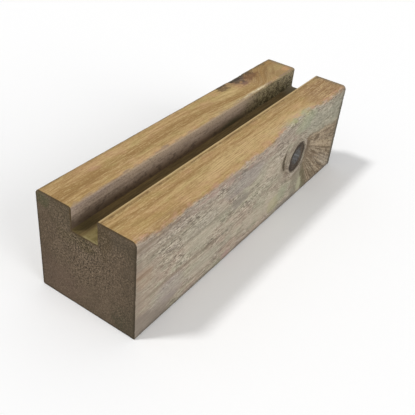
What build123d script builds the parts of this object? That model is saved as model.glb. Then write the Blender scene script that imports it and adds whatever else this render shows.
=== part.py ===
from build123d import *
import os

# A short length of square timber fence post with one groove run along it, lying on its back.
# X runs along the post, Y across it, and Z is up: the groove opens upwards.
# The origin is the centre of the underside. The side with the large knot faces -Y.

# Driving dimensions, in millimetres
post_length = 345.0
post_width = 100.0
post_height = 98.0

groove_width = 26.0
groove_depth = 22.0
groove_root_radius = 1.5
groove_lip_radius_left = 2.5
groove_lip_radius_right = 1.0

top_edge_radius = 4.5
bottom_edge_radius = 1.2

# The gap that opens round a dead knot as it dries
gap_width = 1.0
gap_depth = 1.6

# Large knot on the right side face: where it lies from mid-length and above the underside
side_knot_x = 75.0
side_knot_z = 54.0
side_knot_length = 27.0
side_knot_height = 32.5
side_knot_turn = -32.0

# Second knot of the same whorl, which breaks out at the top left edge
edge_knot_x = 102.0
edge_knot_length = 26.0
edge_knot_breadth = 21.0
edge_knot_lean = 40.0

# Bark-filled split beside the large knot
split_spacing = 28.0
split_rise = 6.0
split_height = 17.0
split_bulge = 5.0
split_breadth = 3.2


def post_section():
    """The square section, drawn looking along the post, with each corner rounded by its own radius."""
    side = post_width / 2
    wall = groove_width / 2
    floor = post_height - groove_depth
    corners = [
        ((-side, 0), bottom_edge_radius),
        ((side, 0), bottom_edge_radius),
        ((side, post_height), top_edge_radius),
        ((wall, post_height), groove_lip_radius_left),
        ((wall, floor), groove_root_radius),
        ((-wall, floor), groove_root_radius),
        ((-wall, post_height), groove_lip_radius_right),
        ((-side, post_height), top_edge_radius),
    ]
    points = [point for point, radius in corners]
    radii = [radius for point, radius in corners]
    return make_face(FilletPolyline(*points, radius=radii, close=True))


def sawn_post():
    """The section run along the whole length and cut square at both ends."""
    return extrude(Plane.YZ * post_section(), amount=post_length / 2, both=True)


def outer_skin():
    """The layer of the post, as deep as a knot gap, below its top and side faces."""
    layer_length = post_length + post_width
    outside = Box(layer_length, post_width + 2 * gap_depth, post_height + gap_depth)
    inside = Box(layer_length, post_width - 2 * gap_depth, post_height - gap_depth)
    lift = (post_height + gap_depth) / 2
    return Pos(0, 0, lift) * outside - Pos(0, 0, lift - gap_depth) * inside


def knot_gap(plane, length, height, turn, reach):
    """An oval tube round the axis of a branch, square to the plane, where it crosses the outer skin."""
    outer = Ellipse(length / 2 + gap_width, height / 2 + gap_width)
    inner = Ellipse(length / 2, height / 2)
    ring = plane * Rot(0, 0, turn) * (outer - inner)
    return extrude(ring, amount=reach, both=True) & outer_skin()


def side_knot_gap():
    """The gap round the large knot, whose branch comes out square to the side face."""
    centre = (side_knot_x, -post_width / 2, side_knot_z)
    face = Plane(origin=centre, x_dir=(1, 0, 0), z_dir=(0, -1, 0))
    return knot_gap(face, side_knot_length, side_knot_height, side_knot_turn, 2 * gap_depth)


def edge_knot_gap():
    """The gap round the second knot, whose branch leans out through the rounded top left edge."""
    edge = (edge_knot_x, post_width / 2, post_height)
    up = Vector(0, 0, 1).rotate(Axis.X, -edge_knot_lean)
    face = Plane(origin=edge, x_dir=(1, 0, 0), z_dir=up)
    return knot_gap(face, edge_knot_length, edge_knot_breadth, 0, edge_knot_breadth)


def bark_split():
    """A crescent between two arcs, bowed away from the large knot and sunk into the side face."""
    centre = (side_knot_x - split_spacing, -post_width / 2, side_knot_z + split_rise)
    face = Plane(origin=centre, x_dir=(1, 0, 0), z_dir=(0, -1, 0))
    top = (split_bulge / 2, split_height / 2)
    bottom = (split_bulge / 2, -split_height / 2)
    outer_arc = ThreePointArc(top, (-split_bulge / 2, 0), bottom)
    inner_arc = ThreePointArc(bottom, (split_breadth - split_bulge / 2, 0), top)
    return extrude(face * make_face([outer_arc, inner_arc]), amount=gap_depth, both=True)


def slotted_post():
    """The whole post, one piece of timber."""
    post = sawn_post() - side_knot_gap() - edge_knot_gap() - bark_split()
    return post.clean()


os.makedirs("parts", exist_ok=True)
export_step(slotted_post(), "parts/slotted_post.step")
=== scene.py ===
import itertools
import math

import bpy
import numpy as np
from mathutils import Matrix, Vector
from mathutils.geometry import delaunay_2d_cdt


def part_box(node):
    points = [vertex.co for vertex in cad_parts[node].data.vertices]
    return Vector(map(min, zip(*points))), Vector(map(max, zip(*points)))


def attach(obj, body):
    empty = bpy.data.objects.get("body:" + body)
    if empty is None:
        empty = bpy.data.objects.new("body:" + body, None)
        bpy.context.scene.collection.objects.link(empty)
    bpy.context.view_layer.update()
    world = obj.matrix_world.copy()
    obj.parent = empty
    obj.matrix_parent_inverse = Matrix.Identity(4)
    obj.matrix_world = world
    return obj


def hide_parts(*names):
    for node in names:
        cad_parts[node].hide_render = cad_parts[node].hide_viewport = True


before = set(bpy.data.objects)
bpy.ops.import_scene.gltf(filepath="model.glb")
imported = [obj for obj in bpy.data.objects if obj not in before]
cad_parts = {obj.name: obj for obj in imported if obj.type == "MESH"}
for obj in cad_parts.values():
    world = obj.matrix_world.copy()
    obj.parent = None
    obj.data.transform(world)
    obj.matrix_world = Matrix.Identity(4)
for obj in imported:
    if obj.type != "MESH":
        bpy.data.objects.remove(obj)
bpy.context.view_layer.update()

# Sizes in millimetres, in the post's own frame: X along it, Z up out of the groove's mouth
MM = 0.001
LOW, HIGH = (np.array(corner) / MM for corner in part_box("slotted_post"))
LENGTH, WIDTH, HEIGHT = HIGH - LOW
END, SIDE = LENGTH / 2, WIDTH / 2
GROOVE_HALF, GROOVE_FLOOR = 13.0, HEIGHT - 22.0
TOP_EDGE, BOTTOM_EDGE = 4.5, 1.2
LEFT_LIP, RIGHT_LIP, GROOVE_ROOT = 2.5, 1.0, 1.5

# The line of the pith, which the growth rings and both branches start from
PITH_Y, PITH_Z = 20.0, 48.0

# The large knot on the right side face, and the second one at the top left edge
SIDE_KNOT = {"x": 77.4, "z": 52.6, "half_length": 13.4, "half_height": 16.4, "turn": math.radians(-36)}
EDGE_KNOT = {"x": 102.0, "half_length": 13.0, "half_breadth": 10.5, "lean": math.radians(40)}
KNOT_GAP, KNOT_GAP_DEPTH = 1.0, 1.1
SPLIT = {"x": 48.6, "z": 60.0, "half_height": 9.0, "bulge": 5.0, "half_breadth": 1.6}

# How far apart the growth rings lie, the radius and part of a ring that the count starts from,
# and the point that the fibres beyond the large knot fan out from
RING, FIRST_RING, FIRST_PART = 3.38, 51.2, 0.62
FAN_APEX_X, FAN_APEX_Z, FAN_START = 66.0, 72.0, 34.0

# The radius of each branch that parts the fibres
SIDE_BRANCH, EDGE_BRANCH = 17.0, 9.0

# The noise values of the palest and the darkest fleck
FLECK_LOW, FLECK_HIGH = 0.34, 0.66

# The sum of an oval's two squares where its stain begins, and where it is full
STAIN_RIM, STAIN_CORE = 1.5, 0.1

# Large odd numbers that scramble a cell's place into a random value
CELL_PRIMES, SEED_PRIME = (73856093, 19349663, 83492791), 2654435761
FIRST_SCRAMBLE, SECOND_SCRAMBLE, LOW_32_BITS = 1274126177, 2246822519, 0xFFFFFFFF


def smoothstep(low, high, value):
    """0 below low, 1 above high, and 3t^2 - 2t^3 between."""
    t = np.clip((value - low) / (high - low), 0, 1)
    return t * t * (3 - 2 * t)


def lattice_noise(points, seed):
    """Smooth noise from -1 to 1: a random value at each whole-number corner, blended over each cell."""
    cell = np.floor(points).astype(np.int64)
    t = points - cell
    fade = t * t * t * (t * (t * 6 - 15) + 10)
    total = np.zeros(len(points))
    for corner in itertools.product((0, 1), repeat=3):
        c = cell + np.array(corner)
        h = np.bitwise_xor.reduce(c * CELL_PRIMES, axis=1) ^ (seed * SEED_PRIME)
        h = ((h ^ (h >> 13)) * FIRST_SCRAMBLE) & LOW_32_BITS
        h = ((h ^ (h >> 16)) * SECOND_SCRAMBLE) & LOW_32_BITS
        value = ((h >> 8) & 0xFFFF) / 32767.5 - 1
        weight = np.prod(np.where(np.array(corner) == 1, fade, 1 - fade), axis=1)
        total += value * weight
    return total


def layered_noise(points, feature, seed, layers=3):
    """Lattice noise summed over layers, each half as large in feature and height as the one before."""
    total = sum(
        lattice_noise(points / np.array(feature) * 2**layer, seed + layer) / 2**layer
        for layer in range(layers)
    )
    return total / (2 - 2.0 ** (1 - layers))


def graded(start, stop, spacing):
    """Stations from start to stop, spacing(position) apart: equal steps of the sum of its inverse."""
    samples = 2000
    fine = np.linspace(start, stop, samples)
    steps = np.abs(stop - start) / (samples - 1) / spacing(fine)
    count = np.concatenate([[0], np.cumsum((steps[1:] + steps[:-1]) / 2)])
    return np.interp(np.linspace(0, count[-1], max(2, round(count[-1]) + 1)), count, fine)


def straight(start, stop, normal, spacing):
    """Rows of y, z and the outward normal along one flat of the section, without its last point."""
    length = math.dist(start, stop)
    along = graded(0, length, spacing)[:-1, None] / length
    points = np.array(start) * (1 - along) + np.array(stop) * along
    return np.hstack([points, np.broadcast_to(normal, points.shape)])


def arc(centre, radius, from_degrees, to_degrees, steps, hollow=False):
    """Rows of y, z and the outward normal round one edge: centre + radius (cos a, sin a)."""
    a = np.radians(np.linspace(from_degrees, to_degrees, steps + 1))[:-1]
    ray = np.stack([np.cos(a), np.sin(a)], axis=1)
    return np.hstack([np.array(centre) + radius * ray, -ray if hollow else ray])


def section():
    """The closed section as rows of y, z and outward normal, anticlockwise seen from the far end."""
    s, w, h, f = SIDE, GROOVE_HALF, HEIGHT, GROOVE_FLOOR
    t, b, left, right, root = TOP_EDGE, BOTTOM_EDGE, LEFT_LIP, RIGHT_LIP, GROOVE_ROOT

    def even(size):
        return lambda along: np.full_like(along, size)

    def near_side_knot(along):
        closest, added = 0.62, 0.75
        away = np.abs(h - t - along - SIDE_KNOT["z"])
        return closest + added * smoothstep(20, 30, away)

    return np.vstack([
        straight((-s + b, 0), (s - b, 0), (0, -1), even(3.0)),
        arc((s - b, b), b, -90, 0, 3),
        straight((s, b), (s, h - t), (1, 0), even(1.9)),
        arc((s - t, h - t), t, 0, 90, 8),
        straight((s - t, h), (w + left, h), (0, 1), even(1.0)),
        arc((w + left, h - left), left, 90, 180, 5),
        straight((w, h - left), (w, f + root), (-1, 0), even(1.1)),
        arc((w - root, f + root), root, 0, -90, 3, hollow=True),
        straight((w - root, f), (-w + root, f), (0, 1), even(1.5)),
        arc((-w + root, f + root), root, -90, -180, 3, hollow=True),
        straight((-w, f + root), (-w, h - right), (1, 0), even(1.6)),
        arc((-w - right, h - right), right, 0, 90, 3),
        straight((-w - right, h), (-s + t, h), (0, 1), even(1.1)),
        arc((-s + t, h - t), t, 90, 180, 8),
        straight((-s, h - t), (-s, b), (-1, 0), near_side_knot),
        arc((-s + b, b), b, 180, 270, 3),
    ])


def stations():
    """Places along the post: close together over the knots and the split, and at the two sawn ends."""
    usual, less_over_knots = 1.65, 0.95

    def spacing(x):
        knots = smoothstep(38, 46, x) * (1 - smoothstep(114, 122, x))
        return usual - less_over_knots * knots

    end_rows = np.array([0, 0.12, 0.35, 0.75])
    first_middle_row = 1.3
    middle = graded(-END + first_middle_row, END - first_middle_row, spacing)
    return np.concatenate([-END + end_rows, middle, END - end_rows[::-1]])


# The next four functions take numpy arrays for the mesh and node fields for the finish alike


def oval(u, v, half_u, half_v):
    """Distance from an oval's rim in units of half_u, negative inside: sqrt((u/a)^2 + (v/b)^2) - 1."""
    return ((u * u) / half_u**2 + (v * v) / half_v**2) ** 0.5 * half_u - half_u


def side_knot_reach(x, z):
    """Distance from the large knot's rim in millimetres, negative inside it."""
    k = SIDE_KNOT
    cos, sin = math.cos(k["turn"]), math.sin(k["turn"])
    u, v = x - k["x"], z - k["z"]
    return oval(u * cos + v * sin, v * cos - u * sin, k["half_length"], k["half_height"])


def edge_knot_reach(x, y, z):
    """Distance from the rim of the second knot, which leans out through the top left edge."""
    k = EDGE_KNOT
    across = (y - SIDE) * math.cos(k["lean"]) - (z - HEIGHT) * math.sin(k["lean"])
    return oval(across, x - k["x"], k["half_breadth"], k["half_length"])


def split_reach(x, z):
    """Distance from the crescent split's middle line, which is bowed by bulge / 2 (v^2 - 1/2).

    v is the height above the split's middle in half heights; v^2 half_breadth closes it at both ends.
    """
    v = (z - SPLIT["z"]) / SPLIT["half_height"]
    bow = x - SPLIT["x"] - (v * v - 0.5) * (SPLIT["bulge"] / 2)
    return abs(bow) + v * v * SPLIT["half_breadth"]


def relief(x, y, z):
    """How far the worn surface lies inside the true section at each point, in millimetres.

    Long waves, torn grain and fibres as noise, deeper on the sawn faces, and worn patches along the
    arrises. Each knot adds a gap, depth exp(-(distance from its rim / gap width)^2), and a dished,
    crumbling inside. The split adds a groove that fades with the distance from its middle line.
    """
    points = np.stack([x, y, z], axis=1)
    right = smoothstep(SIDE - 3, SIDE - 0.5, -y)
    left = smoothstep(SIDE - 3, SIDE - 0.5, y)
    under = 1 - smoothstep(0.5, 3, z)
    sawn = np.maximum(np.maximum(right, left), under)
    groove = smoothstep(HEIGHT - 1.5, HEIGHT - 4, z) * (np.abs(y) < GROOVE_HALF + 1)
    wave_depth = 0.12
    tear_depth = 0.04 + 0.22 * sawn + 0.10 * groove
    fibre_depth = 0.04 + 0.09 * sawn
    depth = wave_depth * (0.5 + 0.5 * layered_noise(points, (90, 60, 60), seed=3, layers=2))
    depth += tear_depth * (0.5 + 0.5 * layered_noise(points, (6.5, 2.4, 2.4), seed=11))
    depth += fibre_depth * (0.5 + 0.5 * layered_noise(points, (22, 1.6, 1.6), seed=23, layers=2))
    edge = smoothstep(HEIGHT - 6, HEIGHT - 1, z) * smoothstep(SIDE - 6, SIDE - 1, np.abs(y))
    depth += edge * 0.35 * smoothstep(0.1, 0.9, layered_noise(points, (14, 9, 9), seed=31))

    side = side_knot_reach(x, z)
    gap = np.exp(-((side / KNOT_GAP) ** 2)) * (0.55 + 0.45 * lattice_noise(points / 5, seed=41))
    dish = 0.15 * (1 - smoothstep(-4, 0, side))
    crumble = 0.25 * (1 - smoothstep(-2, 1, side)) * (0.5 + 0.5 * lattice_noise(points / 2.2, seed=43))
    depth += right * (KNOT_GAP_DEPTH * gap + dish + crumble)
    depth += right * (1 - smoothstep(0.4, 2.4, split_reach(x, z)))

    edge_side = edge_knot_reach(x, y, z)
    open_part = 0.5 + 0.5 * lattice_noise(points / 7, seed=47)
    hollow = 0.6 + 0.4 * lattice_noise(points / 3, seed=53)
    depth += 1.2 * np.exp(-((edge_side / 1.2) ** 2)) * open_part
    depth += 0.6 * (1 - smoothstep(-4, 0, edge_side)) * hollow
    return depth


def end_inset(x, y, z):
    """The round-over of the sawn ends: a quarter circle, nibbled deeper where fibres broke out."""
    points = np.stack([np.sign(x) * 40, y, z], axis=1)
    chips = smoothstep(0.25, 0.95, layered_noise(points, (9, 3.5, 3.5), seed=61))
    splinters = smoothstep(0.30, 0.80, lattice_noise(points / 2.6, seed=67)) * (-y > SIDE - 1)
    reach = 0.3 + 0.8 * chips + 1.2 * splinters
    t = np.clip((END - np.abs(x)) / reach, 0, 1)
    return reach * (1 - np.sqrt(1 - (1 - t) ** 2))


def end_relief(y, z, seed):
    """How far the cut end lies inside the square-cut plane: saw ripples and torn pores."""
    points = np.stack([np.zeros_like(y), y, z], axis=1)
    pores = smoothstep(0.35, 0.9, layered_noise(points, (2, 2.1, 2.1), seed, 2))
    saw = 0.5 + 0.5 * np.sin(0.9 * (z + 0.35 * y) + 2 * lattice_noise(points / 18, seed + 5))
    return 0.04 * saw + 0.12 * pores + 0.06 * (1 + layered_noise(points, (9, 9, 9), seed + 9))


def inside_section(y, z, margin):
    """True where a point of the end face lies in the timber, at least margin from its outline."""
    in_square = (np.abs(y) < SIDE - margin) & (z > margin) & (z < HEIGHT - margin)
    in_groove = (np.abs(y) < GROOVE_HALF + margin) & (z > GROOVE_FLOOR - margin)
    return in_square & ~in_groove


def end_face(rim, x_sign, size, seed):
    """Points and triangles of one cut end: a jittered grid, joined to the points of its rim."""
    jitter, jitter_scale = 0.3, 3.7
    y, z = np.meshgrid(np.arange(-SIDE, SIDE, size), np.arange(0, HEIGHT, size))
    y, z = y.ravel(), z.ravel()
    grid = np.stack([np.zeros_like(y), y * jitter_scale, z * jitter_scale], axis=1)
    y = y + jitter * size * lattice_noise(grid, seed)
    z = z + jitter * size * lattice_noise(grid, seed + 1)
    keep = inside_section(y, z, max(1.4, 0.8 * size))
    flat = np.concatenate([rim[:, 1:], np.stack([y[keep], z[keep]], axis=1)])
    outline = [list(range(len(rim)))]
    result = delaunay_2d_cdt([Vector(p) for p in flat.tolist()], [], outline, 1, 1e-6)
    source = np.array([found[0] for found in result[3]])
    triangles = source[np.array(result[2])]
    depth = end_relief(flat[len(rim):, 0], flat[len(rim):, 1], seed)
    x = x_sign * (END - depth)
    inner = np.column_stack([x, flat[len(rim):]])
    a, b, c = (flat[triangles[:, i]] for i in range(3))
    area = (b[:, 0] - a[:, 0]) * (c[:, 1] - a[:, 1]) - (b[:, 1] - a[:, 1]) * (c[:, 0] - a[:, 0])
    flip = area * x_sign < 0
    triangles[flip] = triangles[flip][:, ::-1]
    return inner, triangles


def post_mesh():
    """The section carried along the stations, sunk by the relief, closed by a face at each cut end."""
    profile = section()
    along = stations()
    count, rows = len(profile), len(along)
    x = np.repeat(along, count)
    y, z, ny, nz = np.tile(profile, (rows, 1)).T
    inward = relief(x, y, z) + end_inset(x, y, z)
    sides = np.stack([x, y - ny * inward, z - nz * inward], axis=1)

    row, column = np.meshgrid(np.arange(rows - 1), np.arange(count), indexing="ij")
    here = row * count + column
    beside = row * count + (column + 1) % count
    quads = np.stack([here, beside, beside + count, here + count], axis=-1).reshape(-1, 4)

    near_rim = sides[:count]
    far_rim = sides[-count:]
    near, near_triangles = end_face(near_rim, x_sign=-1, size=1.25, seed=71)
    far, far_triangles = end_face(far_rim, x_sign=1, size=2.6, seed=83)
    vertices = np.concatenate([sides, near, far])
    near_index = np.concatenate([np.arange(count), len(sides) + np.arange(len(near))])
    far_index = np.concatenate(
        [(rows - 1) * count + np.arange(count), len(sides) + len(near) + np.arange(len(far))]
    )
    triangles = np.concatenate([near_index[near_triangles], far_index[far_triangles]])
    return vertices, quads, triangles


def new_piece(name, vertices, quads, triangles):
    """A mesh object at the origin from points in millimetres, four-sided and three-sided faces."""
    mesh = bpy.data.meshes.new(name)
    corners = np.concatenate([quads.ravel(), triangles.ravel()])
    starts = np.concatenate([
        np.arange(len(quads)) * 4,
        len(quads) * 4 + np.arange(len(triangles)) * 3,
    ])
    mesh.vertices.add(len(vertices))
    mesh.vertices.foreach_set("co", (vertices * MM).astype(np.float32).ravel())
    mesh.loops.add(len(corners))
    mesh.loops.foreach_set("vertex_index", corners.astype(np.int32))
    mesh.polygons.add(len(starts))
    mesh.polygons.foreach_set("loop_start", starts.astype(np.int32))
    mesh.update(calc_edges=True)
    mesh.validate()
    mesh.shade_smooth()
    mesh.set_sharp_from_angle(angle=math.radians(50))
    piece = bpy.data.objects.new(name, mesh)
    bpy.context.scene.collection.objects.link(piece)
    return piece


def operator(operation, swapped=False):
    """An operator of Field, which joins it to another value by one Math node."""
    def method(self, other):
        return calculate(operation, other, self) if swapped else calculate(operation, self, other)

    return method


class Field:
    """A number worked out at each point of the surface: a socket that plain arithmetic combines."""

    tree = None
    __add__ = __radd__ = operator("ADD")
    __sub__, __rsub__ = operator("SUBTRACT"), operator("SUBTRACT", swapped=True)
    __mul__ = __rmul__ = operator("MULTIPLY")
    __truediv__, __rtruediv__ = operator("DIVIDE"), operator("DIVIDE", swapped=True)
    __pow__ = operator("POWER")

    def __init__(self, socket):
        self.socket = socket

    def __neg__(self):
        return calculate("MULTIPLY", self, -1.0)

    def __abs__(self):
        return calculate("ABSOLUTE", self)


def linear(tone):
    """A tone, given as three screen values from 0 to 255, as the linear colour that a socket takes."""
    shares = (value / 255 for value in tone)
    return tuple(s / 12.92 if s <= 0.04045 else ((s + 0.055) / 1.055) ** 2.4 for s in shares) + (1.0,)


def plug(value, socket):
    """Sets a socket: links a field or another socket, and writes a tone or a plain value."""
    if isinstance(value, Field):
        value = value.socket
    if isinstance(value, bpy.types.NodeSocket):
        Field.tree.links.new(value, socket)
    elif isinstance(value, tuple) and len(value) == 3:
        socket.default_value = linear(value)
    else:
        socket.default_value = value


def calculate(operation, *values):
    """One Math node."""
    node = Field.tree.nodes.new("ShaderNodeMath")
    node.operation = operation
    for value, socket in zip(values, node.inputs):
        plug(value, socket)
    return Field(node.outputs[0])


def least(a, b):
    """The smaller of two values."""
    return calculate("MINIMUM", a, b)


def most(a, b):
    """The larger of two values."""
    return calculate("MAXIMUM", a, b)


def rise(low, high, value, top=1.0):
    """0 below low, top above high and a smooth step between; low above high gives the falling step."""
    node = Field.tree.nodes.new("ShaderNodeMapRange")
    node.interpolation_type = "SMOOTHSTEP"
    plug(value, node.inputs["Value"])
    node.inputs["From Min"].default_value = min(low, high)
    node.inputs["From Max"].default_value = max(low, high)
    start, stop = (0.0, top) if low < high else (top, 0.0)
    plug(start, node.inputs["To Min"])
    plug(stop, node.inputs["To Max"])
    return Field(node.outputs["Result"])


def hump(value, breadth):
    """1 at 0, falling off both ways as exp(-(value / breadth)^2)."""
    scaled = value * (1 / breadth)
    return calculate("POWER", math.exp(-1), scaled * scaled)


def vector(x, y, z):
    """Three numbers as one vector."""
    node = Field.tree.nodes.new("ShaderNodeCombineXYZ")
    for value, socket in zip((x, y, z), node.inputs):
        plug(value, socket)
    return node.outputs[0]


def noise(place, feature, layers=2.0, rough=0.5, shift=0.0):
    """Noise from 0 to 1, 0.5 on average, with features of the given size in millimetres."""
    node = Field.tree.nodes.new("ShaderNodeTexNoise")
    scaled = [value * (1 / size) + shift for value, size in zip(place, feature)]
    plug(vector(*scaled), node.inputs["Vector"])
    node.inputs["Scale"].default_value = 1.0
    node.inputs["Detail"].default_value = layers
    node.inputs["Roughness"].default_value = rough
    return Field(node.outputs[0])


def per_ring(index):
    """A random number from 0 to 1 for each growth ring."""
    node = Field.tree.nodes.new("ShaderNodeTexWhiteNoise")
    node.noise_dimensions = "1D"
    plug(index, node.inputs["W"])
    return Field(node.outputs["Value"])


def paint(under, over, amount):
    """The colour under, covered by the colour over as far as amount says."""
    node = Field.tree.nodes.new("ShaderNodeMix")
    node.data_type = "RGBA"
    plug(amount, node.inputs["Factor"])
    plug(under, node.inputs["A"])
    plug(over, node.inputs["B"])
    return node.outputs["Result"]


def sway(pattern, reach):
    """A noise pattern as an amount from -reach / 2 to reach / 2."""
    return (pattern - 0.5) * reach


def parted(u, v, radius):
    """How far a branch moves the fibre at u, v from its middle: v R^2 / (u^2 + v^2), at most v."""
    return v * radius * radius / most(u * u + v * v, most(radius * radius, 1.0))


class Wood:
    """Where each point of the surface lies in the grown timber, and the fine patterns that it shows."""

    def __init__(self):
        tree = Field.tree
        here = tree.nodes.new("ShaderNodeTexCoord").outputs["Object"]
        axes = tree.nodes.new("ShaderNodeSeparateXYZ")
        plug(here, axes.inputs[0])
        self.x, self.y, self.z = (Field(socket) * (1 / MM) for socket in axes.outputs)
        self.place = (self.x, self.y, self.z)
        self.side_knot = side_knot_reach(self.x, self.z)
        self.edge_knot = edge_knot_reach(*self.place)
        self.split = split_reach(self.x, self.z)
        self.follow_fibres()
        self.count_rings()
        self.add_patterns()

    def follow_fibres(self):
        """Moves y and z to where the fibre through a point would lie with no branch in its way.

        Each branch parts the fibres as a post parts water. Beyond the large knot they also fan out
        from one point on the side face, and along the top left strip they dip towards the groove
        before the second knot and climb back to the edge beyond it.
        """
        x, y, z = self.place
        outer = rise(-18, -44, y)
        squeeze = FAN_START / most(x - FAN_APEX_X, FAN_START)
        above = z - FAN_APEX_Z
        fanned = least(above, 0.0) * squeeze + most(above, 0.0) + FAN_APEX_Z
        z1 = z + (fanned - z) * outer

        branch = rise(PITH_Y, -SIDE, y) * SIDE_BRANCH
        u, v = (x - SIDE_KNOT["x"]) * 1.15, z1 - SIDE_KNOT["z"]
        z2 = z1 - parted(u, v, branch)

        strip = rise(8, 20, y) * rise(60, 85, z)
        dip = rise(-5, 92, x) * 9.0 - rise(103, 152, x) * 24.0
        lean_y, lean_z = math.sin(EDGE_KNOT["lean"]), math.cos(EDGE_KNOT["lean"])
        out = (y - SIDE) * lean_y + (z - HEIGHT) * lean_z
        v = (y - SIDE) * lean_z - (z - HEIGHT) * lean_y
        u = x - EDGE_KNOT["x"]
        branch = rise(-60, 0, out) * EDGE_BRANCH
        shift = parted(u, v, branch)
        self.fibre_y = y + dip * strip - shift * lean_z
        self.fibre_z = z2 + shift * lean_y
        self.fibre = (x, self.fibre_y, self.fibre_z)

    def count_rings(self):
        """Rings round the pith: each darkens outwards through its late wood and ends sharply."""
        drift_y = noise((self.x, 0.0, 0.0), (120, 1, 1), 1.0) - 0.5
        drift_z = rise(-150, -50, self.x) * 3.0
        wave = noise(self.fibre, (60, 22, 22), shift=4.0) - 0.5
        ripple = noise(self.fibre, (14, 3, 3), shift=8.0) - 0.5
        across = self.fibre_y - PITH_Y - drift_y * 2.0
        up = self.fibre_z - (PITH_Z + 1.0) + drift_z
        radius = (across * across + up * up) ** 0.5 + wave * 1.8 + ripple * 0.9
        rings = (radius - FIRST_RING) / RING + FIRST_PART
        index = calculate("FLOOR", rings)
        part = rings - index
        strength = per_ring(index + 7.3)
        late = rise(0.30, 0.62, part) * rise(0.80, 0.66, part)
        self.late_wood = late * (strength * 0.75 + 0.25)

    def add_patterns(self):
        """Noise drawn out along the fibre, and washes, patches and specks that ignore it."""
        fibre, place = self.fibre, self.place
        self.line = noise(fibre, (34, 1.9, 1.9), 2.0, 0.6, 11.0)
        self.hair = noise(fibre, (11, 0.9, 0.9), 2.0, 0.6, 5.0)
        self.cloud = noise(fibre, (55, 16, 16), shift=2.0)
        self.patch = noise(place, (20, 9, 9), shift=31.0)
        self.wash = noise(place, (26, 12, 12), shift=47.0)
        self.blotch = noise(place, (7, 4.5, 4.5), 3.0, 0.6, 71.0)
        self.fleck = noise(fibre, (7.5, 1.15, 1.15), 2.0, 0.65, 17.0)
        self.grit = noise(place, (2.2, 1.1, 1.1), 1.0, 0.6, 57.0)
        self.speck = noise(place, (1.5, 1.5, 1.5), 2.0, 0.6, 23.0)


class Faces:
    """How far each point belongs to each face of the post, as shares from 0 to 1."""

    def __init__(self, wood):
        x, y, z = wood.place
        broad = noise(wood.place, (22, 9, 9), 3.0, 0.6, 7.0) - 0.5
        fine = noise(wood.place, (6, 2.2, 2.2), 2.0, 0.6, 3.0) - 0.5
        inside = rise(GROOVE_HALF + 1.6, GROOVE_HALF + 0.6, abs(y))
        inside = inside * rise(HEIGHT - 0.1, HEIGHT - 0.9, z)
        self.groove = inside * rise(GROOVE_FLOOR - 1.5, GROOVE_FLOOR - 0.5, z)
        lip = rise(GROOVE_HALF + 3.4, GROOVE_HALF + 0.2, y + broad * 10.0 + fine * 6.0)
        self.left_lip = lip * rise(0, 5, y) * rise(HEIGHT - 9, HEIGHT - 4, z)
        # A thin band just outside the groove's right lip, for a painted highlight on its rounded edge.
        self.right_lip = hump(y + GROOVE_HALF + 1.1, 0.8) * rise(HEIGHT - 3, HEIGHT - 1, z)

        # Over an arris the distance is measured round it, down the side from the edge of the top.
        # The weathered grey climbs onto the top above the large knot and at the near end.
        climb = rise(14, 54, x) * 8.6 - rise(84, 134, x) * 6.6 + rise(-146, -170, x) * 3.0
        ragged = broad * 13.0 + fine * 9.0
        past_right_edge = HEIGHT - y - z + climb + ragged - 54.2
        past_left_edge = HEIGHT + y - z + ragged * 0.2 - 50.3
        self.right = rise(-4.6, 4.6, past_right_edge)
        left = rise(-1.4, 2.2, past_left_edge)
        under = rise(3.0, 1.0, z)
        self.sawn = most(most(self.right, left), under)
        self.right_blend = hump(past_right_edge + 1.5, 4.6)
        self.mauve_border = hump(past_right_edge - 5.0, 5.0) * rise(70, 30, x)
        self.left_rim = hump(past_left_edge + 1.2, 2.7)
        near_end = rise(-END + 0.56, -END + 0.34, x)
        far_end = rise(END - 0.9, END - 0.4, x)
        self.end = most(near_end, far_end)
        self.near_far_end = rise(END - 8.0, END - 1.5, x + broad * 9.0)


def flecked(coat, dark, light, shares):
    """The coat darker where the patterns run high, lighter where they run low, by their shares."""
    swing = 0.0
    for pattern, amount in shares:
        swing = (rise(FLECK_LOW, FLECK_HIGH, pattern, 2.0) - 1.0) * amount + swing
    coat = paint(coat, dark, most(swing, 0.0))
    return paint(coat, light, most(-swing, 0.0))


def stained(coat, u, v, ragged, stains):
    """Soft ovals, each given as centre u and v, half sizes, tone and strength; ragged frays them.

    An oval's (u - centre)^2 / half^2 + (v - centre)^2 / half^2 is multiplied out as a chain of sums.
    The renderer holds at most 255 values of one material at a time, and this finish needs 242.
    """
    u_squared = u * u
    v_squared = v * v
    for centre_u, centre_v, half_u, half_v, tint, strength in stains:
        constant = (centre_u / half_u) ** 2 + (centre_v / half_v) ** 2
        reach = calculate("MULTIPLY_ADD", u, -2 * centre_u / half_u ** 2, ragged + constant)
        reach = calculate("MULTIPLY_ADD", u_squared, half_u ** -2, reach)
        reach = calculate("MULTIPLY_ADD", v, -2 * centre_v / half_v ** 2, reach)
        reach = calculate("MULTIPLY_ADD", v_squared, half_v ** -2, reach)
        coat = paint(coat, tint, rise(STAIN_RIM, STAIN_CORE, reach, strength))
    return coat


def ruled(coat, across, broken, lines):
    """Soft lines along the fibre, each given as its place across it, breadth, tone and strength."""
    for centre, breadth, tint, strength in lines:
        coat = paint(coat, tint, hump(across - centre, breadth) * broken * strength)
    return coat


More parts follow.
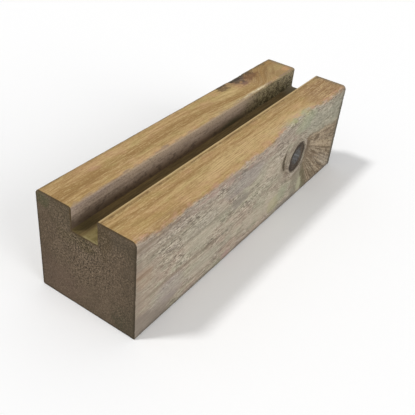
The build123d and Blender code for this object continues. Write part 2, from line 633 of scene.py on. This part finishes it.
def planed_patches(x, y, wood):
    """The planed face's broad patches and soft stains, darker towards the second knot."""
    coat = paint((181, 150, 103), (170, 139, 92), rise(0.38, 0.62, wood.cloud))
    coat = paint(coat, (164, 148, 92), rise(0.50, 0.66, wood.patch) * 0.45)
    coat = paint(coat, (186, 146, 112), rise(0.48, 0.34, wood.patch) * 0.45)
    coat = paint(coat, (166, 132, 82), rise(-100, -150, x) * 0.45)
    ragged = sway(wood.wash, 2.4)
    coat = stained(coat, x, y, ragged, [
        (60, 31, 26, 8, (190, 168, 114), 0.6),
        (42, 16.5, 44, 3.5, (188, 168, 120), 0.6),
        (4, 22.5, 30, 4, (190, 160, 112), 0.55),
        (-30, -36, 70, 9, (196, 169, 120), 0.5),
        (60, -42, 50, 5, (198, 174, 130), 0.55),
        (-130, 41, 24, 5, (182, 142, 108), 0.4),
        (-122, 36, 7, 4, (186, 142, 118), 0.45),
        (-158, 42, 20, 7, (166, 136, 90), 0.5),
        (-140, -47, 44, 3.5, (150, 121, 80), 0.75),
        (92, -22, 40, 6, (156, 130, 88), 0.7),
        (60, -28, 24, 5, (168, 140, 94), 0.5),
        # These two darken the far end of the top: partly its own tone, partly painted shade.
        (150, -32, 40, 22, (152, 123, 88), 0.85),
        (140, 30, 38, 26, (145, 119, 80), 0.8),
        (86, 43, 14, 6, (144, 122, 86), 0.6),
        (156, 30, 14, 6, (168, 146, 98), 0.6),
        (120, 36, 13, 8, (126, 96, 60), 0.8),
        (165, 20, 8, 4, (188, 146, 106), 0.8),
        # A painted highlight along the groove's left lip.
        (92, 15.5, 20, 2.4, (212, 194, 150), 0.5),
    ])
    climbing = (x - 142) * 0.55 - (y - 34) * 0.84
    along = (x - 142) * 0.84 + (y - 34) * 0.55
    return stained(coat, along, climbing, ragged, [
        (0, 0, 20, 3.4, (128, 100, 62), 0.85),
        (2, 9, 16, 1.8, (136, 108, 68), 0.6),
    ])


def planed_lines(coat, wander, broken):
    """The broad brown band along the left rail and the thinner lines of late wood."""
    return ruled(coat, wander, broken, [
        (29.0, 5.2, (146, 114, 68), 0.95),
        (25.0, 0.9, (132, 102, 58), 0.5),
        (33.5, 0.8, (140, 108, 62), 0.35),
        (38.4, 1.0, (146, 114, 68), 0.45),
        (19.4, 0.9, (148, 118, 72), 0.45),
        (-20.5, 1.4, (152, 120, 74), 0.45),
        (-26.8, 1.7, (140, 108, 62), 0.85),
        (-29.4, 0.7, (148, 118, 74), 0.4),
    ])


def right_lip_line(coat, y, wood):
    """The dark line that runs just outside the groove's right lip."""
    lip_edge = y + 16.6 + sway(wood.patch, 2.0)
    coat = paint(coat, (138, 112, 70), hump(lip_edge, 2.2) * 0.75)
    core = hump(lip_edge, 0.9) * rise(0.40, 0.56, wood.blotch)
    return paint(coat, (104, 82, 50), core * 0.8)


def planed_fibres(coat, wood, wander, broken):
    """Fine streaks along the fibre, planer lines, open reddish grain at the far right."""
    x, y = wood.x, wood.y
    calm = 1.0 - rise(112, 124, x) * rise(12, 18, y) * 0.6
    planer_lines = calculate("SINE", wander * 3.0) * hump(y + 37, 8.0)
    planer_lines = planer_lines * rise(-100, -60, x) * rise(75, 45, x)
    coat = paint(coat, (142, 110, 68), most(planer_lines, 0.0) * broken * 0.4)
    coat = paint(coat, (216, 190, 142), most(-planer_lines, 0.0) * broken * 0.36)
    reddish = rise(112, 138, x) * rise(-17, -23, y)
    open_grain = rise(0.1, 0.9, calculate("SINE", wander * 1.9 + sway(wood.hair, 5.0)))
    coat = paint(coat, (116, 84, 56), open_grain * reddish * broken * 0.6)
    coat = flecked(coat, (120, 88, 60), (190, 162, 128), [(wood.fleck, reddish * 0.4)])
    return flecked(coat, (138, 108, 66), (204, 177, 128), [
        (wood.line, calm * 0.24),
        (wood.hair, calm * 0.22),
        (wood.fleck, calm * 0.19),
        (wood.grit, 0.17),
    ])


def planed_wood(wood):
    """The golden planed face, with a painted highlight along a stretch of the groove's left lip."""
    x, y = wood.x, wood.y
    coat = planed_patches(x, y, wood)
    wander = wood.fibre_y + sway(wood.cloud, 9.0)
    broken = rise(0.26, 0.50, noise(wood.fibre, (40, 5, 5), shift=61.0))
    coat = planed_lines(coat, wander, broken)
    coat = right_lip_line(coat, y, wood)
    coat = planed_fibres(coat, wood, wander, broken)
    # Painted highlight on the left lip's rounded edge, broken up by the flecks.
    lip_highlight = hump(x - 92, 24) * hump(y - 14.6, 1.8)
    return paint(coat, (232, 222, 190), lip_highlight * rise(0.58, 0.46, wood.fleck) * 0.95)


def weathered_wood(wood):
    """The grey-brown sawn faces: silvered fibres, darker late wood, torn lighter flecks."""
    x, z = wood.x, wood.z
    coat = paint((173, 158, 140), (165, 157, 138), rise(0.38, 0.62, wood.cloud))
    coat = paint(coat, (156, 157, 134), rise(0.50, 0.66, wood.patch) * 0.55)
    coat = paint(coat, (177, 151, 136), rise(0.48, 0.34, wood.patch) * 0.5)
    coat = paint(coat, (150, 139, 132), rise(0.54, 0.68, wood.wash) * 0.45)
    high = rise(62, 90, z + sway(wood.wash, 50.0))
    coat = paint(coat, (152, 141, 130), high * 0.6)
    coat = paint(coat, (132, 118, 100), wood.late_wood * rise(0.36, 0.55, wood.cloud) * 0.28)
    near_patch = hump(x + 124, 40) * hump(z - 62, 26) * 0.06
    far_patch = rise(95, 140, x) * rise(45, 70, z) * 0.12
    torn = wood.wash + near_patch + far_patch - rise(42, 24, z) * 0.14
    torn = rise(0.38, 0.64, torn) * 0.48 + 0.46
    coat = flecked(coat, (112, 98, 82), (197, 184, 162), [
        (wood.line, 0.30),
        (wood.hair, torn * 0.46),
    ])
    return flecked(coat, (88, 76, 62), (213, 201, 180), [
        (wood.fleck, torn * 0.58),
        (wood.grit, torn * 0.42),
    ])


def side_stains(coat, x, z, wood):
    """The right side's broad stains: paler, pinkish, greenish and, at the ends and foot, darker."""
    ragged = sway(wood.patch, 2.6)
    return stained(coat, x, z, ragged, [
        (-160, 55, 18, 38, (158, 142, 125), 0.5),
        (-172, 55, 7, 60, (146, 131, 116), 0.5),
        (-160, 8, 38, 14, (134, 123, 112), 0.8),
        (-132, 24, 22, 12, (164, 154, 147), 0.5),
        (-163, 58, 12, 10, (174, 148, 124), 0.4),
        (-84, 22, 24, 9, (188, 178, 160), 0.5),
        (-46, 4, 9, 5, (184, 148, 144), 0.45),
        (-24, 77, 30, 11, (151, 144, 138), 0.55),
        (-30, 58, 16, 8, (140, 132, 124), 0.6),
        (-88, 66, 30, 8, (166, 162, 144), 0.4),
        (-88, 51, 26, 8, (184, 174, 154), 0.55),
        (20, 60, 24, 16, (182, 174, 154), 0.35),
        (14, 22, 40, 12, (194, 182, 162), 0.5),
        (40, 14, 12, 12, (174, 169, 128), 0.45),
        (56, 22, 12, 12, (156, 160, 133), 0.5),
        (55, 4, 26, 4, (134, 128, 118), 0.7),
        (50, 44, 16, 14, (152, 140, 124), 0.5),
        (84, 25, 13, 9, (138, 131, 112), 0.75),
        (84, 9, 10, 6, (134, 128, 112), 0.7),
        (95, 13, 6, 11, (176, 174, 144), 0.75),
        (84, 90, 22, 9, (156, 164, 130), 0.5),
        (112, 80, 36, 14, (154, 155, 136), 0.5),
        (140, 63, 42, 9, (150, 143, 124), 0.65),
        (158, 74, 22, 20, (150, 148, 131), 0.65),
        (160, 92, 16, 6, (122, 114, 96), 0.5),
    ])


def side_strands(coat, x, z, wood):
    """The right side's long thin dark and pale strands."""
    strands = sway(wood.line, 3.5) + sway(wood.fleck, 2.5)
    coat = stained(coat, x, z, strands, [
        (-148, 89.5, 42, 2.0, (126, 110, 92), 0.65),
        (-132, 77, 30, 1.8, (134, 119, 102), 0.45),
        (-166, 62.5, 13, 2.2, (132, 110, 88), 0.7),
        (-72, 59.5, 48, 1.7, (134, 128, 110), 0.55),
        (-20, 57, 26, 1.8, (132, 124, 108), 0.5),
        (-60, 42, 40, 1.6, (190, 180, 160), 0.4),
        (-122, 36.5, 48, 2.0, (130, 113, 96), 0.6),
        (-73, 35, 14, 2.2, (110, 96, 78), 0.6),
        (40, 84, 30, 1.5, (132, 120, 104), 0.45),
        (140, 74, 34, 1.3, (112, 106, 88), 0.5),
    ])
    return stained(coat, x, z + x * 0.13, strands, [(-28, 84.3, 34, 2.0, (122, 110, 96), 0.6)])


def right_side_marks(coat, wood):
    """What only the right side shows: stains, strands, the knot with its fan and split, a dark end."""
    x, z = wood.x, wood.z
    coat = side_stains(coat, x, z, wood)
    coat = side_strands(coat, x, z, wood)
    beyond = rise(98, 125, x) * rise(52, 64, z)
    coat = flecked(coat, (112, 112, 92), (172, 166, 146), [(wood.blotch, beyond * 0.4)])
    coat = knotted_side(coat, wood)
    far_edge = rise(END - 8.0, END - 3.2, x + sway(wood.blotch, 6.0))
    return paint(coat, (80, 74, 63), far_edge * rise(98, 74, z) * 0.8)


def fan_beyond_knot(coat, x, z, wood):
    """The brown fan of fibres, laid over the side, with the greenish band along its near edge."""
    wobble = sway(wood.patch, 9.0)
    rough_edge = wobble * 0.6 + sway(wood.blotch, 12.0)
    ahead = most(x - FAN_APEX_X, 10.0)
    straight_fall = (z - FAN_APEX_Z) * 100.0 / ahead
    ray = noise((straight_fall, 0.0, x), (4.6, 1.0, 80), 2.0, 0.6, 3.0)
    fall = straight_fall + wobble * 30.0 / ahead
    upper = rise(-6, -18, fall + rough_edge * 100.0 / ahead)
    inside = upper * rise(-195, -145, fall) * rise(90, 96, x + wobble * 0.4)
    coat = paint(coat, fan_wood(x, z, fall, ray, wood), inside * 0.92)
    strands = sway(wood.blotch, 4.0) + sway(wood.fleck, 3.5)
    return stained(coat, x + z * 0.6, z, strands, [
        (112.5, 24, 5.5, 22, (98, 91, 68), 0.75),
        (108, 5, 5.5, 8, (106, 104, 78), 0.7),
        (92, 14, 1.8, 9, (130, 121, 102), 0.6),
    ])


def knot_surround(coat, x, z, reach, wood):
    """Shaded wood left of the large knot, a pale ring right of it and a dark one outside that."""
    towards_right = (x - SIDE_KNOT["x"]) * 0.8 - (z - SIDE_KNOT["z"]) * 0.5
    shade = hump(reach - 5.0, 5.5) * rise(6, -6, towards_right)
    coat = paint(coat, (144, 130, 114), shade * 0.6)
    coat = paint(coat, (100, 86, 72), shade * rise(0.47, 0.58, wood.line) * 0.25)
    coat = flecked(coat, (98, 86, 70), (196, 184, 166), [(wood.fleck, shade * 0.55)])
    ring_share = hump(z - 37, 7.0) * 0.55 + hump(z - 60, 7.0) * 0.3 + 0.2
    ring = hump(reach - 2.6, 1.2) * rise(-3, 7, towards_right)
    coat = paint(coat, (184, 173, 161), ring * ring_share)
    outside_ring = hump(reach - 5.0, 2.6) * rise(2, 10, towards_right)
    return paint(coat, (104, 88, 71), outside_ring * 0.6)


def bark_split(coat, x, z, split, wood):
    """The crescent split beside the knot, by the distance from its middle line: brown, then dark."""
    split = split + sway(wood.fleck, 9.0) + sway(wood.blotch, 7.0)
    coat = stained(coat, x, z, sway(wood.fleck, 4.0), [
        (54.5, 58, 1.7, 10, (112, 98, 82), 0.5),
        (50, 52, 5, 5, (118, 104, 88), 0.45),
        (58, 44, 5, 5, (122, 107, 90), 0.35),
    ])
    coat = paint(coat, (118, 104, 85), rise(7.0, 2.4, split) * 0.5)
    return paint(coat, (72, 62, 45), rise(3.8, 1.2, split) * 0.85)


def knotted_side(coat, wood):
    """The fan of fibres, what lies round the large knot, the split and the knot itself."""
    x, z = wood.x, wood.z
    coat = fan_beyond_knot(coat, x, z, wood)
    reach = wood.side_knot + sway(wood.fleck, 4.0) + sway(wood.blotch, 4.5)
    coat = knot_surround(coat, x, z, reach, wood)
    coat = bark_split(coat, x, z, wood.split, wood)
    return knot_wood(coat, x, z, reach, wood)


def fan_wood(x, z, fall, ray, wood):
    """Fibres that fan out beyond the knot, by their fall in hundredths: a dark wedge, paler rays."""
    fan = paint((124, 106, 83), (138, 121, 97), rise(0.42, 0.6, wood.cloud))
    spread = sway(wood.blotch, 2.0) + sway(ray, 2.5)
    fan = stained(fan, x, fall, spread, [
        (124, -45, 18, 5, (164, 145, 121), 0.6),
        (142, -41, 22, 6, (152, 130, 96), 0.6),
        (138, -62, 14, 6, (156, 139, 117), 0.6),
        (155, -64, 22, 9, (162, 151, 135), 0.75),
        (114, -98, 24, 18, (108, 95, 73), 0.85),
        (104, -34, 12, 5, (122, 104, 82), 0.6),
        (107, -66, 27, 19, (108, 90, 69), 0.95),
    ])
    wedge = most(hump(fall + 70, 14.0) * rise(128, 112, x), rise(110, 98, x) * 0.8)
    rays_share = 0.7 - wedge * 0.5 - rise(124, 146, x) * 0.28
    fan = flecked(fan, (84, 67, 48), (186, 166, 140), [(ray, rays_share)])
    steady = rise(0.30, 0.46, wood.patch)
    fan = ruled(fan, fall, steady, [
        (-30, 1.8, (108, 92, 72), 0.5),
        (-41, 2.0, (176, 156, 132), 0.6),
        (-47, 1.6, (106, 88, 67), 0.6),
        (-58, 1.6, (100, 84, 64), 0.7),
        (-92, 3.0, (98, 83, 63), 0.55),
        (-112, 3.5, (104, 92, 69), 0.5),
        (-135, 4.0, (96, 84, 62), 0.5),
    ])
    beside_seam = hump(fall + 70.5, 1.7) * rise(112, 134, x) * rise(0.44, 0.56, wood.fleck)
    fan = paint(fan, (204, 193, 174), beside_seam * 0.75)
    fan = paint(fan, (66, 54, 41), hump(fall + 76, 1.8) * rise(118, 136, x) * 0.85)
    share = 0.36 - wedge * 0.2
    fan = flecked(fan, (91, 76, 58), (186, 171, 147), [(wood.fleck, share), (wood.grit, share)])
    return stained(fan, x, z, sway(wood.blotch, 3.0) + sway(wood.fleck, 3.0), [
        (99, 55.5, 4.5, 6.5, (100, 84, 65), 0.75),
        (119, 57.5, 7, 3.4, (92, 74, 54), 0.85),
        (146, 56, 8, 2.4, (110, 90, 72), 0.7),
        (160, 47, 8, 2.4, (108, 96, 78), 0.6),
    ])


def knot_wood(coat, x, z, reach, wood):
    """A dead knot: a thick dark brown rim, and a blue-grey heart with a few paler cracks across it."""
    own_ring = calculate("SINE", reach * 1.7 + sway(wood.fleck, 6.0)) * 0.5 + 0.5
    heart = paint((88, 88, 86), (66, 64, 62), own_ring)
    heart = ruled(heart, z + x * 0.6, rise(0.40, 0.50, wood.blotch), [
        (106.5, 0.9, (112, 113, 112), 0.5),
        (101.0, 1.1, (122, 127, 130), 0.6),
        (96.4, 0.9, (112, 112, 118), 0.5),
    ])
    rim = paint((84, 72, 58), (56, 46, 36), rise(0.40, 0.60, wood.fleck))
    heart_reach = oval(x - 75.0, z - 54.5, 9.6, 9.2) + sway(wood.blotch, 10.0)
    knot = paint(rim, heart, rise(2.0, -3.5, heart_reach))
    knot = stained(knot, x, z, sway(wood.fleck, 4.0), [
        (65, 46, 5, 6, (54, 44, 38), 0.7),
    ])
    knot = flecked(knot, (54, 46, 40), (116, 106, 96), [(wood.grit, 0.3)])
    knot = paint(knot, (42, 34, 28), hump(reach + 1.6, 1.4) * 0.5)
    return paint(coat, knot, rise(1.8, -1.0, reach))


def broken_knot(coat, wood):
    """The second knot where it breaks out at the edge: ragged, dark, with reddish wood beside it."""
    x, y = wood.x, wood.y
    reach = wood.edge_knot + sway(wood.blotch, 15.0) + sway(wood.fleck, 8.0)
    coat = paint(coat, (140, 108, 80), rise(9.0, 1.5, reach) * 0.65)
    knot = paint((108, 94, 80), (56, 46, 37), rise(0.42, 0.58, wood.fleck))
    knot = paint(knot, (126, 99, 77), rise(0.50, 0.62, wood.blotch) * 0.55)
    coat = paint(coat, knot, rise(2.0, -3.0, reach))
    ragged = sway(wood.blotch, 5.0) + sway(wood.fleck, 3.0)
    return stained(coat, x, y, ragged, [
        (72, 42, 8, 6, (104, 82, 55), 0.85),
        (73, 47, 8, 3, (80, 63, 43), 0.85),
        (98, 34, 7, 5, (118, 87, 73), 0.75),
        (99, 39, 8, 4, (92, 74, 58), 0.8),
        (119, 38.5, 12, 6, (112, 79, 50), 0.85),
        (122, 44, 10, 4, (96, 74, 47), 0.75),
        (99, 47, 12, 4, (60, 50, 39), 0.9),
        (116, 48, 14, 3, (72, 60, 44), 0.85),
        (150, 46, 12, 4, (98, 84, 60), 0.65),
    ])


def groove_wall(x, height, ragged, wood):
    """Grey-purple walls, mossy at the far end, darkened downwards by painted shade."""
    wall = paint((178, 156, 134), (190, 171, 145), rise(0.42, 0.60, wood.line))
    wall = paint(wall, (146, 129, 119), rise(-90, -140, x + ragged * 3.0) * 0.75)
    # Painted shade: the wall darkens in two steps towards the groove's floor, below 22 mm and again
    # below 12.5 mm.
    wall = paint(wall, (166, 147, 129), rise(22, 12, height + ragged * 0.5))
    wall = paint(wall, (114, 95, 74), rise(12.5, 2, height + ragged * 0.6))
    near_wall = rise(-80, -150, x) * rise(15, 9, height + ragged)
    wall = paint(wall, (92, 78, 64), near_wall * 0.55)
    wall = paint(wall, (74, 61, 49), rise(0.50, 0.64, wood.blotch) * rise(19, 8, height) * 0.55)
    share = rise(4, 14, height) * 0.27
    wall = flecked(wall, (95, 80, 67), (188, 170, 151), [(wood.line, share), (wood.grit, share)])
    wall = paint(wall, (66, 70, 42), hump(x - 48, 20) * rise(12, 3, height) * 0.65)
    mossy = rise(58, 108, x + ragged * 4.0)
    wall = paint(wall, (122, 111, 78), mossy * 0.8)
    wall = paint(wall, (76, 68, 38), mossy * rise(15, 5, height + ragged * 0.4) * 0.75)
    share = mossy * 0.58
    wall = flecked(wall, (63, 55, 36), (164, 153, 119), [(wood.blotch, share), (wood.grit, share)])
    return paint(wall, (178, 150, 110), rise(19.6, 21.4, height + ragged * 0.15) * 0.45)


def groove_bottom(x, y, ragged, wood):
    """An olive-brown floor, paler at the far end, with painted light and shadow at the near end."""
    floor = paint((130, 109, 69), (108, 89, 56), rise(0.36, 0.64, wood.line))
    lit_corner = rise(5.0, -1.0, y + ragged * 0.4) * rise(-140, -152, x)
    # Painted light over an olive tint, where the sun reaches the floor's near corner.
    floor = paint(floor, (136, 121, 76), lit_corner)
    floor = flecked(floor, (110, 97, 58), (152, 138, 96), [(wood.blotch, lit_corner * 0.6)])
    # Painted highlight along the floor's front edge at the near end.
    floor = paint(floor, (170, 158, 116), lit_corner * hump(x + END - 1.2, 1.0) * 0.4)
    floor = paint(floor, (60, 54, 30), lit_corner * rise(0.62, 0.70, wood.speck) * 0.7)
    # Painted shadow of the left wall on the floor at the near end.
    floor = paint(floor, (80, 71, 42), rise(0.0, 9.0, y) * rise(-140, -160, x) * 0.6)
    return paint(floor, (126, 119, 100), rise(END - 30.0, END - 8.0, x) * 0.6)


def groove_stain(wood):
    """The whole groove, its floor and walls chosen by the height above the floor."""
    height = wood.z - GROOVE_FLOOR
    ragged = sway(wood.patch, 8.0) + sway(wood.fleck, 5.0)
    wall = groove_wall(wood.x, height, ragged, wood)
    floor = groove_bottom(wood.x, wood.y, ragged, wood)
    return paint(wall, floor, rise(1.8, 0.6, height))


def end_grain(wood):
    """The sawn ends: dark, speckled with open pores, olive round the groove and reddish lower down."""
    y, z = wood.y, wood.z
    coat = paint((110, 94, 76), (102, 87, 70), rise(0.4, 0.6, wood.patch))
    ragged = sway(wood.wash, 2.4)
    coat = stained(coat, y, z, ragged, [
        (30, 18, 28, 20, (108, 89, 75), 0.6),
        (-42, 12, 18, 20, (78, 72, 55), 0.85),
        (-45, 42, 11, 44, (88, 76, 60), 0.65),
        (24, 88, 15, 15, (84, 73, 53), 0.75),
        (-19, 84, 9, 18, (80, 66, 42), 0.8),
        (-40, 88, 15, 12, (80, 70, 54), 0.75),
        (43, 91, 9, 7, (78, 82, 52), 0.6),
        (2, 70, 17, 7, (78, 68, 40), 0.9),
        (20, 67, 9, 7, (90, 79, 55), 0.6),
        (43, 58, 9, 24, (92, 77, 60), 0.65),
        (44, 18, 9, 24, (96, 80, 66), 0.5),
    ])
    centre = hump(y, 30.0) * hump(z - 56, 26.0)
    rough = centre * 0.7 + 0.3 + sway(wood.wash, 0.8)
    coat = flecked(coat, (84, 71, 55), (118, 101, 82), [(wood.blotch, rough * 0.3)])
    coat = flecked(coat, (60, 50, 37), (145, 126, 103), [
        (wood.speck, rough * 0.86),
        (wood.grit, rough * 0.5),
    ])
    coat = paint(coat, (44, 37, 26), rise(0.63, 0.70, wood.speck) * rough * 0.7)
    to_groove = most(abs(y) - GROOVE_HALF, GROOVE_FLOOR - z)
    to_side = least(SIDE - abs(y), z) + sway(wood.speck, 5.0) + sway(wood.blotch, 5.0)
    to_top = least(HEIGHT - z, to_groove) + sway(wood.speck, 3.0) + sway(wood.blotch, 4.0)
    coat = paint(coat, (52, 45, 32), rise(3.0, 0.3, to_side) * 0.6)
    return paint(coat, (74, 58, 30), rise(2.2, 0.2, to_top) * 0.7)


def finish_colour(wood, faces):
    """The colour of the whole post: each face's own, and what lies along the edges between them."""
    x, z = wood.x, wood.z
    coat = broken_knot(planed_wood(wood), wood)
    coat = paint(coat, (142, 123, 106), faces.left_lip * 0.75)
    # Painted highlight along the groove's right lip.
    coat = paint(coat, (202, 180, 134), faces.right_lip * 0.6)
    blended = faces.right_blend * rise(0.42, 0.58, wood.blotch)
    coat = paint(coat, (190, 148, 124), blended * 0.7)
    weathered = weathered_wood(wood)
    coat = paint(coat, weathered, faces.sawn)
    coat = paint(coat, right_side_marks(weathered, wood), faces.right)
    mauve = faces.mauve_border * rise(0.44, 0.60, wood.patch)
    coat = paint(coat, (178, 148, 136), mauve * 0.5)
    lichen = faces.right_blend * hump(x - 72, 22) * rise(0.36, 0.56, wood.wash)
    coat = paint(coat, (158, 165, 122), lichen * 0.75)
    rim = faces.left_rim * (rise(0.38, 0.56, wood.patch) * 0.5 + 0.5)
    coat = paint(coat, (76, 66, 44), rim * 0.9)
    low = rise(5.0, 0.5, z + sway(wood.fleck, 8.0) + sway(wood.patch, 12.0))
    coat = paint(coat, (104, 97, 89), low * faces.sawn * 0.65)
    coat = paint(coat, (104, 98, 84), faces.near_far_end * 0.5)
    coat = paint(coat, groove_stain(wood), faces.groove)
    return paint(coat, end_grain(wood), faces.end)


def finish_height(wood, faces):
    """How far the fine grain stands up, in millimetres: more on the sawn faces, pores at the ends."""
    height = sway(wood.hair, 0.2) + sway(wood.line, 0.2) + wood.late_wood * 0.06
    height = height + (wood.fleck - 0.5) * (faces.sawn * 0.5 + 0.1)
    height = height + (wood.grit - 0.5) * (faces.end * 0.2 + faces.sawn * 0.2 + 0.04)
    return height + (wood.speck - 0.5) * faces.end * 0.3


def timber():
    """The finish of the whole post."""
    material = bpy.data.materials.new("weathered_timber")
    material.use_nodes = True
    Field.tree = material.node_tree
    surface = Field.tree.nodes["Principled BSDF"]
    wood = Wood()
    faces = Faces(wood)
    plug(finish_colour(wood, faces), surface.inputs["Base Color"])

    shine = rise(0.3, 0.8, wood.hair) * 0.12 + wood.late_wood * -0.08 + 0.74
    plug(shine + faces.sawn * 0.12 + faces.end * 0.1, surface.inputs["Roughness"])
    surface.inputs["Specular IOR Level"].default_value = 0.25

    height = finish_height(wood, faces)
    bump = Field.tree.nodes.new("ShaderNodeBump")
    bump.inputs["Distance"].default_value = MM
    plug(height, bump.inputs["Height"])
    plug(bump.outputs["Normal"], surface.inputs["Normal"])
    return material


def camera():
    """The photograph's viewpoint: place, bearing and slope of the view, roll about it, and lens."""
    place = Vector((-429.01, -258.84, 376.39)) * MM
    bearing, slope, roll = (math.radians(a) for a in (31.263, -36.343, 6.195))
    ahead = Vector((
        math.cos(slope) * math.cos(bearing),
        math.cos(slope) * math.sin(bearing),
        math.sin(slope),
    ))
    level = ahead.cross(Vector((0, 0, 1))).normalized()
    right = level * math.cos(roll) + level.cross(ahead) * math.sin(roll)
    up = right.cross(ahead)
    view = bpy.data.objects.new("camera", bpy.data.cameras.new("camera"))
    view.matrix_world = Matrix.Translation(place) @ Matrix((right, up, -ahead)).transposed().to_4x4()
    view.data.lens = 54.251
    view.data.sensor_width = 36.0
    view.data.clip_start = 0.01
    view.data.clip_end = 50.0
    bpy.context.scene.collection.objects.link(view)
    bpy.context.scene.camera = view


def sun(name, bearing, elevation, strength, softness):
    """A distant lamp, softness wide, at a bearing from +X towards +Y and an elevation, in degrees."""
    lamp = bpy.data.lights.new(name, "SUN")
    lamp.energy = strength
    lamp.angle = math.radians(softness)
    holder = bpy.data.objects.new(name, lamp)
    b, e = math.radians(bearing), math.radians(elevation)
    towards = Vector((math.cos(e) * math.cos(b), math.cos(e) * math.sin(b), math.sin(e)))
    holder.rotation_euler = towards.to_track_quat("Z", "Y").to_euler()
    bpy.context.scene.collection.objects.link(holder)


def camera_white(tree, background):
    """White to the camera, in reflections and through glass, and the given grey as a light."""
    path = tree.nodes.new("ShaderNodeLightPath")
    rays = ("Is Camera Ray", "Is Glossy Ray", "Is Transmission Ray")
    camera_ray, glossy_ray, through_ray = (Field(path.outputs[name]) for name in rays)
    seen = most(most(camera_ray, glossy_ray), through_ray)
    return paint((background,) * 3 + (1.0,), (1.0, 1.0, 1.0, 1.0), seen)


def floor_and_sky(sky, bounce):
    """A plain pale floor that looks white where it is fully lit, under an even pale sky."""
    mesh = bpy.data.meshes.new("floor")
    reach = 6.0
    corners = [(-reach, -reach, 0), (reach, -reach, 0), (reach, reach, 0), (-reach, reach, 0)]
    mesh.from_pydata(corners, [], [(0, 1, 2, 3)])
    floor = bpy.data.objects.new("floor", mesh)
    bpy.context.scene.collection.objects.link(floor)
    material = bpy.data.materials.new("floor")
    material.use_nodes = True
    Field.tree = material.node_tree
    surface = Field.tree.nodes["Principled BSDF"]
    surface.inputs["Roughness"].default_value = 1.0
    surface.inputs["Specular IOR Level"].default_value = 0.0
    plug(camera_white(Field.tree, bounce), surface.inputs["Base Color"])
    mesh.materials.append(material)

    world = bpy.data.worlds.new("sky")
    world.use_nodes = True
    Field.tree = world.node_tree
    plug(camera_white(Field.tree, sky), Field.tree.nodes["Background"].inputs["Color"])
    bpy.context.scene.world = world


camera()
sun("window", bearing=135, elevation=60, strength=1.23, softness=8)
sun("fill", bearing=-95, elevation=27, strength=1.1, softness=40)
floor_and_sky(sky=0.50, bounce=0.80)
bpy.context.scene.view_settings.view_transform = "Standard"

post = new_piece("post_timber", *post_mesh())
post.data.materials.append(timber())
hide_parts("slotted_post")
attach(post, "root")
